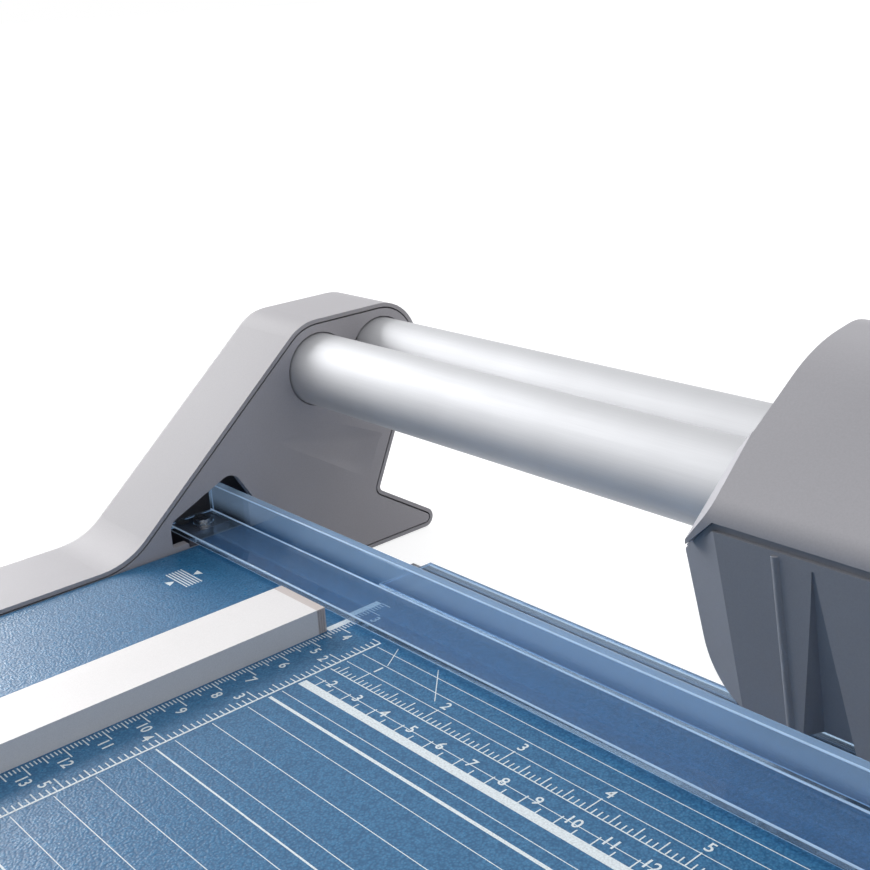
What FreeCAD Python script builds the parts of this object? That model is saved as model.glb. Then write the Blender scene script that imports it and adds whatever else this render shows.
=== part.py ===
"""Rolling paper trimmer: a table with a side stop, a see-through clamp and a cutting head on tubes."""
import FreeCAD, Part
import Sketcher
import math
import os

from FreeCAD import Placement, Rotation, Vector

doc = FreeCAD.newDocument("PaperTrimmer")
sheet = doc.addObject("Spreadsheet::Sheet", "Sizes")

# Driving sizes in millimetres and degrees. Places count from the cut line and the table's
# surface: "behind" and "front" from the line, "rise" and "drop" from the surface.
sizes = {
    # the table and the cut
    "cutLength": 360.0,
    "endRoom": 78.4,
    "frontReach": 304.0,
    "tableHeight": 25.0,
    "deckThick": 1.5,
    "deckFlange": 16.0,
    "deckBend": 1.4,
    "deckInset": 1.0,
    "knifeThick": 2.4,
    "knifeTall": 15.0,
    "knifeOver": 16.2,
    "knifeScrewCount": 4.0,
    # the end brackets: a moulded cover closed by a flat inner plate
    "bandWidth": 30.6,
    "bandRound": 2.4,
    "coverWall": 2.5,
    "rimWall": 1.3,
    "seamGap": 0.5,
    "railRise": 1.3,
    "railRound": 4.0,
    "armAngle": 40.3,
    "armBlend": 24.0,
    "capOver": 4.8,
    "backOver": 3.8,
    "backAngle": 24.9,
    "notchDrop": 3.8,
    "notchRound": 1.8,
    "footAngle": 32.7,
    "footTip": 3.5,
    "bracketDrop": 24.3,
    "plateThick": 3.0,
    "bossWide": 8.0,
    "frameScrewDrop": 9.0,
    "frameScrewEnd": 24.0,
    # the soft hollow in the inner plate
    "hollowDeep": 2.2,
    "hollowTop": 26.0,
    "hollowFront": 6.5,
    "hollowRidge": 20.5,
    "hollowShoulder": 16.0,
    "hollowCrease": 11.0,
    "hollowRim": 2.0,
    # the window that the clamp passes through
    "windowFront": 44.2,
    "windowBack": 14.0,
    "windowSill": 1.2,
    "windowShoulder": 9.3,
    "windowPeakAt": 20.1,
    "windowPeak": 19.9,
    "windowBackRise": 9.7,
    "windowDrop": 1.6,
    "windowStep": 1.6,
    # the guide tubes
    "tubeDiameter": 23.6,
    "tubeWall": 1.8,
    "tubeGap": 2.1,
    "tubeClear": 5.1,
    "tubeRise": 44.6,
    "tubeSeat": 18.5,
    "tubeRoom": 0.45,
    "tubeHoleDeep": 2.2,
    "plugLong": 20.0,
    "socketWall": 1.1,
    "socketFloor": 2.5,
    # the side stop
    "stopWide": 19.8,
    "stopTall": 7.0,
    "stopOff": 0.8,
    "stopStart": 43.5,
    "stopCap": 2.6,
    "stopEndRoom": 4.0,
    # the clamp
    "clampFront": 36.9,
    "clampLift": 0.8,
    "clampThick": 2.2,
    "clampWallAt": 20.8,
    "clampWallThick": 3.0,
    "clampWallTop": 12.3,
    "clampFlangeGap": 0.25,
    "clampFlangeOver": 8.0,
    "clampInside": 15.6,
    "carrierInset": 0.6,
    "carrierLong": 11.6,
    "carrierWide": 15.0,
    "carrierTall": 6.0,
    "postDiameter": 6.0,
    "postInside": 8.0,
    "postFront": 28.2,
    "postRise": 4.6,
    "clampScrewAside": 4.8,
    "shelfDrop": 14.0,
    "shelfThick": 2.5,
    "springWire": 0.9,
    # the cutting head's upper cover
    "headLength": 104.6,
    "headPlace": 146.5,
    "headWall": 2.5,
    "headEnd": 4.0,
    "headOver": 6.4,
    "headAngle": 33.3,
    "headCrown": 45.0,
    "headTopAngle": 8.5,
    "headTop": 78.6,
    "headTopAt": 43.5,
    "headBrow": 7.0,
    "headBack": 66.0,
    "headBackRound": 16.0,
    "floorGap": 0.74,
    "headCorner": 4.0,
    "noseFront": 8.4,
    "flareOut": 4.1,
    "flareBehind": 10.4,
    "bevelTurnAngle": 32.3,
    "bevelTiltAngle": 32.4,
    "bevelOff": 12.46,
    "seamRise": 47.0,
    "seamEndRise": 39.9,
    "seamIn": 3.0,
    "seamBack": 4.9,
    # the skirt below it
    "skirtFront": 8.4,
    "skirtTongue": 1.0,
    "skirtGroove": 2.0,
    "skirtBack": 2.0,
    "skirtOut": 7.2,
    "skirtLeanAngle": 15.5,
    "skirtRound": 17.0,
    "skirtBottom": 4.6,
    "facetIn": 12.2,
    "facetSet": 2.4,
    "beadTop": 33.2,
    "beadLow": 27.9,
    "beadRadius": 1.1,
    "beadProud": 0.6,
    "fluteTop": 24.0,
    "fluteTopRise": 43.1,
    "fluteOuter": 25.3,
    "fluteInner": 11.0,
    "fluteDeep": 4.5,
    "fluteLean": 3.0,
    "wheelBay": 38.0,
    "wheelBayDeep": 3.5,
    "hubBay": 12.0,
    "hubBayDeep": 8.2,
    # the carriage inside the head
    "carriageWall": 2.1,
    "carriagePlay": 0.5,
    "bushLong": 16.0,
    "bushWall": 0.8,
    "guardThick": 2.6,
    "guardWide": 84.0,
    "guardLow": 9.0,
    "skirtScrewAt": 33.0,
    "skirtScrewRise": 18.0,
    "floorScrewAt": 30.0,
    "endScrewOff": 11.6,
    # the cutting wheel
    "wheelDiameter": 50.0,
    "wheelThick": 1.2,
    "wheelBevel": 2.4,
    "wheelDip": 1.5,
    "wheelGap": 0.05,
    "hubDiameter": 22.0,
    "hubThick": 4.0,
    "hubScrewRing": 7.4,
    "axleDiameter": 8.0,
    "axleHead": 12.0,
    "axleHeadThick": 1.4,
    "axlePlay": 0.1,
    "clipThick": 1.0,
    # feet, screws and running clearances
    "footWide": 16.0,
    "footThick": 2.0,
    "footInset": 18.0,
    "screwHead": 6.4,
    "screwHeadTall": 2.2,
    "screwShank": 3.2,
    "screwLong": 9.0,
    "smallScrewHead": 4.4,
    "smallScrewShank": 2.2,
    "runningFit": 0.06,
    "looseFit": 0.3,
}
for row, (name, number) in enumerate(sizes.items(), start=1):
    sheet.set(f"A{row}", name)
    sheet.set(f"B{row}", str(number))
    sheet.setAlias(f"B{row}", name)
doc.recompute()


def linked(text):
    """Writes the sheet's name before each of its aliases in an expression."""
    words = []
    word = ""
    for sign in text + " ":
        if sign.isalnum():
            word += sign
            continue
        words.append("Sizes." + word if word in sizes else word)
        words.append(sign)
        word = ""
    return "".join(words).strip()


def value(text):
    """The number that an expression of the sheet's names stands for."""
    return float(sheet.evalExpression(text))


def place(item, x="0", y="0", z="0", turn=None):
    """Puts an object at a point given by three expressions."""
    if turn is not None:
        item.Placement = Placement(Vector(), turn)
    for axis, text in zip("xyz", (x, y, z)):
        item.setExpression(f".Placement.Base.{axis}", linked(text))


def newBody():
    return doc.addObject("PartDesign::Body", "Body")


def sketchOn(body, role, offset="0"):
    """An empty sketch on one of the body's own planes, moved along the plane's normal."""
    plane = [item for item in body.Origin.OriginFeatures if item.Role == role][0]
    sketch = body.newObject("Sketcher::SketchObject", "Outline")
    sketch.AttachmentSupport = [(plane, "")]
    sketch.MapMode = "FlatFace"
    sketch.setExpression(".AttachmentOffset.Base.z", linked(offset))
    return sketch


def drawOutline(sketch, corners):
    """Draws a closed outline from corners (across, up, radius), rounded by tangent arcs."""
    points = [Vector(across, up, 0) for across, up, radius in corners]
    starts = []
    ends = []
    arcs = []
    for index, (across, up, radius) in enumerate(corners):
        here = points[index]
        back = (points[index - 1] - here).normalize()
        ahead = (points[(index + 1) % len(points)] - here).normalize()
        half = back.getAngle(ahead) / 2
        run = radius / math.tan(half)
        starts.append(here + back * run)
        ends.append(here + ahead * run)
        if radius > 0:
            middle = here + (back + ahead).normalize() * (radius / math.sin(half) - radius)
            arcs.append(Part.Arc(starts[-1], middle, ends[-1]))
    lines = []
    for index, start in enumerate(ends):
        end = starts[(index + 1) % len(starts)]
        if start.distanceToPoint(end) > 0.001:
            lines.append(Part.LineSegment(start, end))
    sketch.addGeometry(lines + arcs)


def drawCircle(sketch, across, up, radius):
    """Draws a circle whose place and radius are bound to expressions."""
    centre = Vector(value(across), value(up), 0)
    index = sketch.addGeometry(Part.Circle(centre, Vector(0, 0, 1), value(radius)))
    for kind, text in (("DistanceX", across), ("DistanceY", up)):
        row = sketch.addConstraint(Sketcher.Constraint(kind, -1, 1, index, 3, value(text)))
        sketch.setExpression(f"Constraints[{row}]", linked(text))
    row = sketch.addConstraint(Sketcher.Constraint("Radius", index, value(radius)))
    sketch.setExpression(f"Constraints[{row}]", linked(radius))


def drawBox(sketch, left, right, low, high):
    """Draws a rectangle between expressions, with its corners bound to them."""
    across = (left, right, right, left)
    up = (low, low, high, high)
    corners = [Vector(value(a), value(b), 0) for a, b in zip(across, up)]
    first = sketch.GeometryCount
    for index in range(4):
        sketch.addGeometry(Part.LineSegment(corners[index], corners[(index + 1) % 4]))
    for index in range(4):
        after = first + (index + 1) % 4
        sketch.addConstraint(Sketcher.Constraint("Coincident", first + index, 2, after, 1))
    for index in range(4):
        for kind, text in (("DistanceX", across[index]), ("DistanceY", up[index])):
            limit = Sketcher.Constraint(kind, -1, 1, first + index, 1, value(text))
            row = sketch.addConstraint(limit)
            sketch.setExpression(f"Constraints[{row}]", linked(text))


def pad(sketch, length, backwards=False, midplane=False):
    """Adds a sketch's outline to its body."""
    body = sketch.getParentGeoFeatureGroup()
    item = body.newObject("PartDesign::Pad", "Pad")
    item.Profile = sketch
    item.Reversed = backwards
    item.Midplane = midplane
    item.setExpression("Length", linked(length))


def pocket(sketch, length, backwards=False, midplane=False):
    """Cuts a sketch's outline from its body, and makes sure that something went."""
    body = sketch.getParentGeoFeatureGroup()
    doc.recompute()
    before = body.Shape.Volume
    item = body.newObject("PartDesign::Pocket", "Pocket")
    item.Profile = sketch
    item.Reversed = backwards
    item.Midplane = midplane
    item.setExpression("Length", linked(length))
    doc.recompute()
    if body.Shape.Volume > before - 1e-6:
        raise RuntimeError(f"pocket {item.Name} cuts nothing")


def roundEdges(body, measure, chosen):
    """Rounds the edges whose middle point passes a test."""
    doc.recompute()
    base = body.Tip
    names = []
    for index, edge in enumerate(base.Shape.Edges, start=1):
        if chosen(edge.valueAt((edge.FirstParameter + edge.LastParameter) / 2)):
            names.append(f"Edge{index}")
    item = body.newObject("PartDesign::Fillet", "Fillet")
    item.Base = (base, names)
    item.setExpression("Radius", linked(measure))


def near(first, second):
    return abs(first - second) < 0.02


def solidOf(kind, **properties):
    """A Part primitive with its sizes bound to the sheet."""
    item = doc.addObject(f"Part::{kind}", kind)
    for prop, text in properties.items():
        item.setExpression(prop, linked(text))
    return item


def combined(kind, first, second):
    """A boolean of two objects: Fuse or Cut."""
    item = doc.addObject(f"Part::{kind}", kind)
    item.Base = first
    item.Tool = second
    return item


def cutBy(piece, *tools):
    """A piece with the room of other pieces taken out, such as the holes for its screws."""
    for tool in tools:
        piece = combined("Cut", piece, tool)
    return piece


def together(items):
    """Several solids kept as one object."""
    item = doc.addObject("Part::Compound", "Group")
    item.Links = items
    return item


def mirrored(source):
    """The same piece for the other end."""
    item = doc.addObject("Part::Mirroring", "Mirror")
    item.Source = source
    item.Normal = Vector(1, 0, 0)
    return item


turns = {
    "+x": Rotation(Vector(0, 1, 0), 90),
    "-x": Rotation(Vector(0, 1, 0), -90),
    "+y": Rotation(Vector(1, 0, 0), -90),
    "-y": Rotation(Vector(1, 0, 0), 90),
    "+z": Rotation(),
    "-z": Rotation(Vector(1, 0, 0), 180),
}
opposite = {"-x": "+x", "+x": "-x"}


def rod(radius, long, point, along="+z"):
    """A plain cylinder from a point along an axis."""
    item = solidOf("Cylinder", Radius=radius, Height=long)
    place(item, *point, turn=turns[along])
    return item


def ring(outer, inner, long, point, along="+z"):
    """A cylinder with a hole through it."""
    return combined("Cut", rod(outer, long, point, along), rod(inner, long, point, along))


def screw(point, along, long="screwLong"):
    """A screw whose round head sits on the point and whose shank runs along the axis."""
    stem = solidOf("Cylinder", Radius="screwShank / 2", Height=long)
    cap = solidOf("Cylinder", Radius="screwHead / 2", Height="screwHeadTall")
    place(cap, z="-screwHeadTall")
    item = combined("Fuse", cap, stem)
    place(item, *point, turn=turns[along])
    return item


def sunkScrew(point, along, long="screwLong"):
    """A small screw with a cone-shaped head, flush with the face that the point lies on."""
    stem = solidOf("Cylinder", Radius="smallScrewShank / 2", Height=long)
    cap = solidOf("Cone", Radius1="smallScrewHead / 2", Radius2="smallScrewShank / 2",
                  Height="(smallScrewHead - smallScrewShank) / 2")
    item = combined("Fuse", cap, stem)
    place(item, *point, turn=turns[along])
    return item


def slabBeyond(normal, distance, about):
    """A thick plate with its lower face on a slanting plane, to cut that face with."""
    item = solidOf("Box", Length="2 * headLength", Width="2 * headLength", Height="headLength / 2")
    turn = Rotation(Vector(0, 0, 1), normal)
    foot = about - normal * (normal.dot(about) - distance)
    half = value("headLength")
    item.Placement = Placement(foot - turn.multVec(Vector(half, half, 0)), turn)
    return item


def crossing(first, second):
    """Where two sides meet; a side is (outward normal in degrees, distance from the origin)."""
    a = math.radians(first[0])
    b = math.radians(second[0])
    scale = math.sin(b - a)
    across = (first[1] * math.sin(b) - second[1] * math.sin(a)) / scale
    up = (second[1] * math.cos(a) - first[1] * math.cos(b)) / scale
    return across, up


def sideThrough(point, normal, away=0.0):
    """The side with this normal that passes a point at a distance."""
    angle = math.radians(normal)
    return normal, point[0] * math.cos(angle) + point[1] * math.sin(angle) + away


def insetOutline(sides, rounds, inset):
    """Corners of an outline whose sides all move inwards; a negative round is a hollow corner."""
    corners = []
    moved = [(normal, distance - inset) for normal, distance in sides]
    for index, radius in enumerate(rounds):
        across, up = crossing(moved[index - 1], moved[index])
        turned = max(radius - inset, 0.0) if radius >= 0 else inset - radius
        corners.append((across, up, turned))
    return corners


# Places that several pieces share.
innerFace = "(cutLength / 2 + endRoom)"
tubeBehind = "(tubeDiameter / 2 + tubeClear)"
backTubeBehind = f"({tubeBehind} + tubeDiameter + tubeGap)"
betweenTubes = f"({tubeBehind} + (tubeDiameter + tubeGap) / 2)"
tubeHole = "(tubeDiameter / 2 + tubeRoom)"
capAround = "(tubeDiameter / 2 + capOver)"
headMiddle = "(headPlace - cutLength / 2)"
wheelRise = "(wheelDiameter / 2 - wheelDip)"
boreRadius = "(tubeDiameter / 2 + runningFit)"
hullRadius = f"({boreRadius} + bushWall + carriageWall)"
headFloor = f"(tubeRise - {hullRadius} - headWall - floorGap)"
frontTube = (value(tubeBehind), value("tubeRise"))
backTube = (value(backTubeBehind), value("tubeRise"))

# The end bracket's outline, seen along the tubes: its sides, and the rounding before each.
backSide = sideThrough(backTube, -value("backAngle"), value("tubeDiameter / 2 + backOver"))
notch = crossing(backSide, (270, value("notchDrop")))
footSide = sideThrough(notch, 90 - value("footAngle"))
bracketSides = [
    (270, value("bracketDrop")),
    (180, value("frontReach")),
    (90, value("railRise")),
    sideThrough(frontTube, 90 + value("armAngle"), value(capAround)),
    (90, value(f"tubeRise + {capAround}")),
    backSide,
    footSide,
]
bracketRounds = [
    value("footTip"),
    0.0,
    value("railRound"),
    -value("armBlend"),
    value(capAround),
    value("tubeDiameter / 2 + backOver"),
    -value("notchRound"),
]


def bracketOutline(inset):
    return insetOutline(bracketSides, bracketRounds, value(inset))


# The part's origin is under the middle of its box, so the cut line lies behind it.
# The head or the brackets' feet reach furthest back.
tipCentre = crossing((footSide[0], footSide[1] - value("footTip")),
                     (270, value("bracketDrop - footTip")))
backReach = tipCentre[0] + value("footTip")
cutBehind = f"(frontReach - max(headBack; {backReach:.6f})) / 2"


def atCut(item, x="0"):
    """Moves a piece drawn from the cut line and the table's surface to its place."""
    place(item, x, cutBehind, "tableHeight")
    return item


frameScrewRows = (
    "-(frontReach - frameScrewEnd)",
    "-(frontReach / 2)",
    "-(clampFront + frameScrewEnd)",
)
footRows = ("-(frontReach - footInset)", f"({backReach:.6f} - footInset - footTip)")


def makeEndCover():
    """The moulded shell of the left end: band, outer wall and the low rail beside the table."""
    body = newBody()
    outline = sketchOn(body, "YZ_Plane", "-bandWidth")
    drawOutline(outline, bracketOutline("0"))
    pad(outline, "bandWidth")
    outer = -value("bandWidth")
    bottom = -value("bracketDrop")
    roundEdges(body, "bandRound", lambda at: near(at.x, outer) and not near(at.z, bottom))
    inside = sketchOn(body, "YZ_Plane", "coverWall - bandWidth")
    drawOutline(inside, bracketOutline("coverWall"))
    pocket(inside, "bandWidth - coverWall - plateThick - seamGap", backwards=True)
    mouth = sketchOn(body, "YZ_Plane", "-(plateThick + seamGap)")
    drawOutline(mouth, bracketOutline("rimWall"))
    pocket(mouth, "plateThick + seamGap", backwards=True)
    bosses = sketchOn(body, "YZ_Plane", "coverWall - bandWidth")
    for behind in frameScrewRows:
        drawCircle(bosses, behind, "-frameScrewDrop", "bossWide / 2")
    pad(bosses, "bandWidth - coverWall - plateThick")
    feet = sketchOn(body, "XY_Plane", "-bracketDrop")
    for behind in footRows:
        drawCircle(feet, "-bandWidth / 2", behind, "footWide / 2")
    pocket(feet, "footThick - tableHeight + bracketDrop", backwards=True)
    return atCut(body, f"-{innerFace}")


def windowCorners():
    """The window in the inner plate: a low slot for the clamp's floor under a peak for its wall."""
    front = -value("windowFront")
    back = -value("windowBack")
    step = -value("clampFront + windowStep")
    low = -value("windowDrop")
    sill = value("windowSill")
    return [
        (step, low, 0.0),
        (step, sill, 0.4),
        (front, sill, 1.2),
        (front, value("windowShoulder"), 4.0),
        (-value("windowPeakAt"), value("windowPeak"), 4.5),
        (back, value("windowBackRise"), 1.0),
        (back, low, 0.0),
    ]


def makeHollow():
    """A shallow scoop in the plate: its floor falls from a tip to a crease near the back edge."""
    rim = value("rimWall + seamGap + hollowRim")
    back = (backSide[0], backSide[1] - rim)
    inner = (backSide[0], backSide[1] - rim - value("hollowCrease"))
    top = value("hollowTop")
    shoulder = value("hollowShoulder")
    deep = -value("hollowDeep")
    over = value("looseFit")
    corners = [
        Vector(over, -value("hollowFront"), top),
        Vector(over, value("hollowRidge"), top),
        Vector(over, *crossing(back, (90, shoulder))),
        Vector(over, *crossing(back, (270, 0.0))),
        Vector(deep, *crossing(inner, (90, shoulder))),
        Vector(deep / 2, *crossing(inner, (90, shoulder / 2))),
    ]
    faces = [(0, 1, 2, 3), (0, 1, 4), (1, 2, 4), (2, 5, 4), (2, 3, 5), (3, 0, 5), (0, 4, 5)]
    skins = [Part.Face(Part.makePolygon([corners[i] for i in face + face[:1]])) for face in faces]
    item = doc.addObject("Part::Feature", "Hollow")
    item.Shape = Part.makeSolid(Part.makeShell(skins))
    return atCut(item, f"-{innerFace}")


def makeEndPlate():
    """The flat inner plate of the left end, with tube sockets, the clamp's window and its shelf."""
    body = newBody()
    outline = sketchOn(body, "YZ_Plane", "-plateThick")
    drawOutline(outline, bracketOutline("rimWall + seamGap"))
    pad(outline, "plateThick")
    for behind in (tubeBehind, backTubeBehind):
        socket = sketchOn(body, "YZ_Plane", "-(tubeSeat + socketFloor)")
        drawCircle(socket, behind, "tubeRise", "tubeDiameter / 2 + socketWall")
        pad(socket, "tubeSeat + socketFloor - plateThick / 2")
    shelf = sketchOn(body, "XY_Plane", "-shelfDrop")
    drawBox(shelf, "-(plateThick + carrierInset + carrierLong)", "-plateThick / 2",
            "-(clampFront - carrierInset)", "-(clampFront - carrierInset - carrierWide)")
    pad(shelf, "shelfThick")
    for behind in (tubeBehind, backTubeBehind):
        seat = sketchOn(body, "YZ_Plane", "-tubeSeat")
        drawCircle(seat, behind, "tubeRise", "tubeDiameter / 2")
        pocket(seat, "tubeSeat", backwards=True)
        recess = sketchOn(body, "YZ_Plane", "-tubeHoleDeep")
        drawCircle(recess, behind, "tubeRise", tubeHole)
        pocket(recess, "tubeHoleDeep", backwards=True)
    window = sketchOn(body, "YZ_Plane", "-plateThick")
    drawOutline(window, windowCorners())
    pocket(window, "plateThick", backwards=True)
    return cutBy(atCut(body, f"-{innerFace}"), makeHollow())


def makeTable():
    """The folded sheet-steel table, open below, with a flange down each side."""
    body = newBody()
    frontEdge = "-(frontReach - deckInset)"
    top = sketchOn(body, "XY_Plane", "-deckFlange")
    drawBox(top, f"-{innerFace}", innerFace, frontEdge, "-knifeThick")
    pad(top, "deckFlange")
    roundEdges(body, "deckBend", lambda at: near(at.z, 0))
    inside = sketchOn(body, "XY_Plane", "-deckThick")
    drawBox(inside, f"-({innerFace} - deckThick)", f"{innerFace} - deckThick",
            f"{frontEdge} + deckThick", "-(knifeThick + deckThick)")
    pocket(inside, "deckFlange - deckThick")
    return atCut(body)


def makeKnife():
    """The ground steel bar whose back top edge is the lower half of the cut."""
    item = solidOf("Box", Length="cutLength + 2 * knifeOver", Width="knifeThick", Height="knifeTall")
    place(item, "-(cutLength / 2 + knifeOver)", f"{cutBehind} - knifeThick",
          "tableHeight - knifeTall")
    return item


def makeKnifeScrews():
    items = []
    count = int(value("knifeScrewCount"))
    for index in range(count):
        across = f"cutLength * {(index + 0.5) / count - 0.5}"
        items.append(sunkScrew((across, "0", "-knifeTall / 2"), "-y",
                               long="knifeThick + 3 * deckThick"))
    return atCut(together(items))


def makeFrameScrews():
    """Screws through the table's side flanges and the end plates into the covers' bosses."""
    items = []
    for sign, along in (("-", "-x"), ("", "+x")):
        for behind in frameScrewRows:
            point = (f"{sign}({innerFace} - deckThick)", behind, "-frameScrewDrop")
            items.append(screw(point, along, long="screwLong + deckThick + plateThick"))
    return atCut(together(items))


def makeTube(behind):
    """One aluminium guide tube, seated in both end plates."""
    start = (f"-({innerFace} + tubeSeat)", behind, "tubeRise")
    long = f"2 * ({innerFace} + tubeSeat)"
    return atCut(ring("tubeDiameter / 2", "tubeDiameter / 2 - tubeWall", long, start, "+x"))


def eachTubeEnd(make):
    """Calls make(sign, behind, along) for the four tube ends; along points out of the end."""
    items = []
    for sign, along in (("-", "-x"), ("", "+x")):
        for behind in (tubeBehind, backTubeBehind):
            items.append(make(sign, behind, along))
    return atCut(together(items))


def tubePlug(sign, behind, along):
    point = (f"{sign}({innerFace} + tubeSeat - plugLong)", behind, "tubeRise")
    return rod("tubeDiameter / 2 - tubeWall", "plugLong", point, along)


def tubeScrew(sign, behind, along):
    point = (f"{sign}({innerFace} + tubeSeat + socketFloor)", behind, "tubeRise")
    return screw(point, opposite[along], long="screwLong + socketFloor")


def makeFeet():
    items = []
    for sign in ("-", ""):
        for behind in footRows:
            point = (f"{sign}({innerFace} + bandWidth / 2)", behind, "-tableHeight")
            items.append(rod("footWide / 2", "footThick", point))
    return atCut(together(items))


stopLeft = "-(cutLength / 2 + stopOff + stopWide)"
stopEnd = "(frontReach - stopEndRoom)"


def stopBlock(long, front):
    """A length of the side stop whose front end lies this far before the cut line."""
    item = solidOf("Box", Length="stopWide", Width=long, Height="stopTall")
    place(item, stopLeft, f"{cutBehind} - {front}", "tableHeight")
    return item


def makeStopScrews():
    """Screws from under the table into the stop."""
    items = []
    for share in ("0.2", "0.8"):
        behind = f"-(stopStart + ({stopEnd} - stopStart) * {share})"
        point = (f"{stopLeft} + stopWide / 2", behind, "-deckThick")
        items.append(screw(point, "+z", long="deckThick + stopTall / 2"))
    return atCut(together(items))


def makeClampStrip():
    """The see-through clamp: a floor with an upright wall, and a flange that ends at the cut."""
    body = newBody()
    long = f"2 * ({innerFace} + clampInside)"
    wallBack = "-(clampWallAt - clampWallThick)"
    floor = sketchOn(body, "YZ_Plane")
    drawBox(floor, "-clampFront", wallBack, "clampLift", "clampLift + clampThick")
    pad(floor, long, midplane=True)
    wall = sketchOn(body, "YZ_Plane")
    drawBox(wall, "-clampWallAt", wallBack, "clampLift", "clampWallTop")
    pad(wall, long, midplane=True)
    flange = sketchOn(body, "YZ_Plane")
    drawBox(flange, "-clampWallAt", "-clampFlangeGap", "clampLift", "clampLift + clampThick")
    pad(flange, "cutLength + 2 * clampFlangeOver", midplane=True)
    holes = sketchOn(body, "XY_Plane", "clampLift")
    for sign in ("-", ""):
        drawCircle(holes, f"{sign}({innerFace} + postInside)", "-postFront",
                   "postDiameter / 2 + looseFit")
    pocket(holes, "clampThick", backwards=True)
    return atCut(body)


def makeClampScrews():
    """Small screws from above through the clamp's ends into the carriers."""
    items = []
    for sign in ("-", ""):
        across = f"{sign}({innerFace} + postInside + clampScrewAside)"
        point = (across, "-(postFront + clampScrewAside)", "clampLift + clampThick")
        items.append(sunkScrew(point, "-z", long="clampThick + carrierTall / 2"))
    return atCut(together(items))


def makeCarriers():
    """Blocks under the clamp's ends, each with a hole that slides on a guide post."""
    items = []
    nearSide = f"({innerFace} + plateThick + carrierInset)"
    for left in (f"-({nearSide} + carrierLong)", nearSide):
        block = solidOf("Box", Length="carrierLong", Width="carrierWide", Height="carrierTall")
        place(block, left, "-(clampFront - carrierInset)", "clampLift - carrierTall")
        items.append(block)
    bores = []
    for sign in ("-", ""):
        point = (f"{sign}({innerFace} + postInside)", "-postFront", "clampLift - carrierTall")
        bores.append(rod("postDiameter / 2 + runningFit", "carrierTall", point))
    return atCut(cutBy(together(items), together(bores)))


def makePosts():
    """Upright pins on the end plates' shelves; the clamp rises and falls along them."""
    items = []
    for sign in ("-", ""):
        point = (f"{sign}({innerFace} + postInside)", "-postFront", "-shelfDrop")
        items.append(rod("postDiameter / 2", "shelfDrop + postRise", point))
    return atCut(together(items))


def makeSprings():
    """The springs round the posts, from the shelves up to the carriers."""
    items = []
    tall = "shelfDrop - shelfThick + clampLift - carrierTall"
    for sign in ("-", ""):
        point = (f"{sign}({innerFace} + postInside)", "-postFront", "shelfThick - shelfDrop")
        outer = "postDiameter / 2 + looseFit + springWire"
        items.append(ring(outer, "postDiameter / 2 + looseFit", tall, point))
    return atCut(together(items))


# The head's outline, seen along the tubes: its sides, and the rounding before each.
crownPoint = (value("headTopAt"), value("headTop"))
mainSide = sideThrough(frontTube, 90 + value("headAngle"), value("tubeDiameter / 2 + headOver"))
headSides = [
    (270, -value(headFloor)),
    (180, value("noseFront")),
    mainSide,
    sideThrough(crownPoint, 90 + value("headTopAngle")),
    (0, value("headBack")),
]
headRounds = [
    value("headCorner"),
    0.0,
    value("headBrow"),
    value("headCrown"),
    value("headBackRound"),
]
flareHalf = "(headLength / 2 + flareOut)"
seamHalf = "(headLength / 2 - seamIn)"
endSlope = "(seamRise - seamEndRise) / (flareOut + seamIn)"


def makeHeadCover():
    """The upper shell of the head, which a hand pushes along the tubes."""
    body = newBody()
    outline = sketchOn(body, "YZ_Plane")
    drawOutline(outline, insetOutline(headSides, headRounds, 0.0))
    pad(outline, "headLength", midplane=True)
    flare = sketchOn(body, "YZ_Plane")
    flareSides = [(270, -value(headFloor)), headSides[1], mainSide, (0, value("flareBehind"))]
    drawOutline(flare, insetOutline(flareSides, (0.0, 0.0, value("headBrow"), 0.0), 0.0))
    pad(flare, f"2 * {flareHalf}", midplane=True)
    hollow = sketchOn(body, "YZ_Plane")
    opened = [(270, value(f"2 * headWall - {headFloor}"))] + headSides[1:]
    drawOutline(hollow, insetOutline(opened, headRounds, value("headWall")))
    pocket(hollow, "headLength - 2 * headEnd", midplane=True)
    beyond = value("headWall")
    half = value(seamHalf)
    far = value(flareHalf) + beyond
    seam = value("seamRise")
    low = value(headFloor) - beyond
    farSeam = value(f"seamEndRise - headWall * {endSlope}")
    below = sketchOn(body, "XZ_Plane", "noseFront + headWall")
    drawOutline(below, [(-far, low, 0.0), (-far, farSeam, 0.0), (-half, seam, 0.0),
                        (half, seam, 0.0), (far, farSeam, 0.0), (far, low, 0.0)])
    pocket(below, "noseFront + headWall + seamBack")
    flareFoot = sketchOn(body, "XY_Plane")
    drawBox(flareFoot, f"-2 * {flareHalf}", "-headLength / 2", "-seamBack", "2 * flareBehind")
    drawBox(flareFoot, "headLength / 2", f"2 * {flareHalf}", "-seamBack", "2 * flareBehind")
    pocket(flareFoot, "seamEndRise", backwards=True)
    holes = sketchOn(body, "YZ_Plane")
    drawCircle(holes, tubeBehind, "tubeRise", tubeHole)
    drawCircle(holes, backTubeBehind, "tubeRise", tubeHole)
    pocket(holes, f"2 * {flareHalf}", midplane=True)
    bevels = []
    turn = math.radians(value("bevelTurnAngle"))
    tilt = math.radians(value("bevelTiltAngle"))
    for side in (-1, 1):
        normal = Vector(side * math.cos(turn) * math.cos(tilt), -math.sin(turn) * math.cos(tilt),
                        math.sin(tilt))
        about = Vector(side * value("headLength / 2"), *frontTube)
        bevels.append(slabBeyond(normal, normal.dot(about) + value("bevelOff"), about))
    return atCut(cutBy(body, *bevels), headMiddle)


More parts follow.
